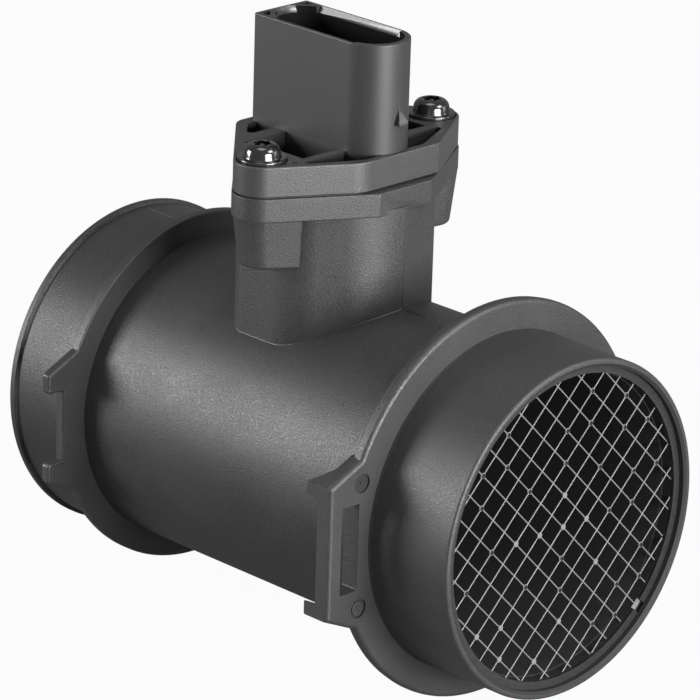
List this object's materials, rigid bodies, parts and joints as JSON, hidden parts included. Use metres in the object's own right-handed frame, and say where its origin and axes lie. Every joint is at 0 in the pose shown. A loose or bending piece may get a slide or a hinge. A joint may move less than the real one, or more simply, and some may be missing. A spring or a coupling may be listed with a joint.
{
  "type": "mass airflow sensor",
  "caption": "Tubular engine intake air meter with a flange and spigot at each end, a diagonal inlet screen and an upright connector on a screwed sensor cover.",
  "frame": {"origin": "on the tube axis, in the front face of the inlet flange, at the root of the inlet spigot", "axes": "+Y along the tube axis the way the air flows, +Z towards the connector, +X across"},
  "size_m": [0.0914, 0.1277, 0.1287],
  "materials": {
    "housing_plastic": "glass-filled black plastic with a fine spark-eroded grain",
    "cover_plastic": "smooth satin black plastic",
    "screen_plastic": "dark grey satin plastic",
    "ring_steel": "dark oiled spring steel",
    "seal_rubber": "soft black rubber",
    "screw_black": "glossy black coated steel",
    "blade_metal": "tin-plated blade",
    "carrier_metal": "plain milled plate",
    "board_ceramic": "fired white ceramic",
    "chip_black": "moulded black package",
    "capacitor_body": "tan fired ceramic body"
  },
  "bodies": {
    "root": {"housing": "housing_plastic", "inlet_screen": "screen_plastic", "retaining_ring": "ring_steel", "sensor_cover": "cover_plastic", "cover_seal": "seal_rubber", "cover_screw_left": "screw_black", "cover_screw_right": "screw_black", "connector_blade_1": "blade_metal", "connector_blade_2": "blade_metal", "connector_blade_3": "blade_metal", "connector_blade_4": "blade_metal", "connector_blade_5": "blade_metal", "measuring_column": "cover_plastic", "duct_lid": "cover_plastic", "chamber_lid": "cover_plastic", "carrier_plate": "carrier_metal", "circuit_board": "board_ceramic", "signal_chip": "chip_black", "heater_driver": "chip_black", "capacitor_1": "capacitor_body", "capacitor_2": "capacitor_body", "capacitor_3": "capacitor_body", "capacitor_4": "capacitor_body", "hot_film_element": "board_ceramic", "air_temperature_bead": "chip_black"}
  },
  "joints": []
}
